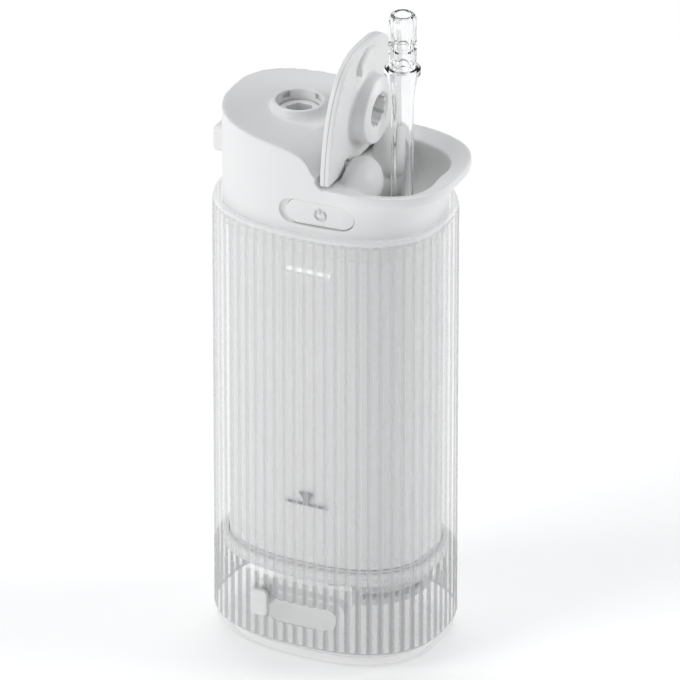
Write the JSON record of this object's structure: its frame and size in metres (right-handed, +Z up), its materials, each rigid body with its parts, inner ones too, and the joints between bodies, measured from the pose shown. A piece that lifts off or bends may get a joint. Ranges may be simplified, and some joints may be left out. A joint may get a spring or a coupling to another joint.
{
  "type": "portable ear irrigator",
  "caption": "Handheld ear wax cleaner: ribbed clear reservoir around a white pump body, nozzle collar on a sloping head, and an open lidded bowl holding a raised clear ear tip.",
  "frame": {"origin": "centre of the reservoir's flat base, on the surface it stands on", "axes": "+Z up through the head; +X along the long side of the plan, from the release button end towards the storage bowl; -Y is the front, with the power button"},
  "size_m": [0.0694, 0.0525, 0.1889],
  "materials": {
    "clear_tank_plastic": "clear, ribbed outside",
    "clear_tip_plastic": "clear, polished",
    "white_head_plastic": "satin white",
    "white_body_plastic": "satin white",
    "light_guide_plastic": "milky",
    "grey_mark_print": "printed mark",
    "white_silicone": "soft matte",
    "grey_seal_rubber": "soft matte",
    "white_gear_plastic": "natural moulded",
    "bright_steel": "bright",
    "motor_can_steel": "plated",
    "battery_wrap": "shrink wrap",
    "board_green": "solder mask",
    "filter_plastic": "porous"
  },
  "bodies": {
    "reservoir": {"reservoir": "clear_tank_plastic"},
    "main_unit": {"body_shell": "white_body_plastic", "bottom_cap": "white_body_plastic", "seal_ring": "white_silicone", "intake_housing": "white_body_plastic", "intake_filter": "filter_plastic", "cap_screw_1": "bright_steel", "cap_screw_2": "bright_steel", "cap_screw_3": "bright_steel", "cap_screw_4": "bright_steel", "indicator_light": "light_guide_plastic", "level_line": "grey_mark_print", "level_triangle": "grey_mark_print", "head_shell": "white_head_plastic", "nozzle_socket": "white_head_plastic", "socket_seal": "grey_seal_rubber", "storage_tube": "white_body_plastic", "hinge_pin": "bright_steel", "power_switch": "white_gear_plastic", "charging_port": "bright_steel", "motor": "motor_can_steel", "gear_axle": "bright_steel", "pump_frame": "white_body_plastic", "pump_cylinder": "white_body_plastic", "intake_hose": "white_silicone", "outlet_hose": "white_silicone", "battery": "battery_wrap", "circuit_board": "board_green"},
    "fill_plug": {"fill_plug": "white_silicone"},
    "power_button": {"power_button": "white_head_plastic"},
    "release_button": {"release_button": "white_head_plastic", "release_latch": "white_gear_plastic"},
    "port_cover": {"port_cover": "white_silicone"},
    "lid": {"lid_cover": "white_head_plastic", "lid_liner": "white_head_plastic"},
    "ear_tip": {"ear_tip": "clear_tip_plastic"},
    "motor_pinion": {"motor_pinion": "white_gear_plastic"},
    "drive_gear": {"drive_gear": "white_gear_plastic"},
    "piston": {"piston": "white_gear_plastic", "wrist_pin": "bright_steel", "connecting_rod": "white_gear_plastic"}
  },
  "joints": [
    {"name": "main_unit_slide", "type": "slide", "parent": "reservoir", "child": "main_unit", "axis": [0, 0, 1], "range_m": [0, 0.055]},
    {"name": "fill_plug_pull", "type": "slide", "parent": "reservoir", "child": "fill_plug", "axis": [0, -1, 0], "range_m": [0, 0.012]},
    {"name": "lid_hinge", "type": "hinge", "parent": "main_unit", "child": "lid", "pos_m": [0.007, 0, 0.1466], "axis": [0, 1, 0], "range_deg": [-8, 4]},
    {"name": "ear_tip_slide", "type": "slide", "parent": "main_unit", "child": "ear_tip", "axis": [0, 0, 1], "range_m": [-0.046, 0.03]},
    {"name": "power_press", "type": "slide", "parent": "main_unit", "child": "power_button", "axis": [0, 1, 0], "range_m": [0, 0.0006], "stiffness_N_per_m": 800},
    {"name": "release_press", "type": "slide", "parent": "main_unit", "child": "release_button", "axis": [1, 0, 0], "range_m": [0, 0.0015], "stiffness_N_per_m": 700},
    {"name": "port_cover_hinge", "type": "hinge", "parent": "main_unit", "child": "port_cover", "pos_m": [-0.002, 0.0234, 0.1331], "axis": [-1, 0, 0], "range_deg": [0, 110]},
    {"name": "gear_spin", "type": "hinge", "parent": "main_unit", "child": "drive_gear", "pos_m": [0.0005, 0.006, 0.046], "axis": [0, 1, 0], "continuous": true},
    {"name": "pinion_spin", "type": "hinge", "parent": "main_unit", "child": "motor_pinion", "pos_m": [-0.0155, 0.006, 0.046], "axis": [0, 1, 0], "continuous": true},
    {"name": "piston_slide", "type": "slide", "parent": "main_unit", "child": "piston", "axis": [0, 0, 1], "range_m": [-0.0068, 0]}
  ],
  "couplings": [
    {"joint": "pinion_spin", "follows": "gear_spin", "ratio": -3.4444}
  ]
}
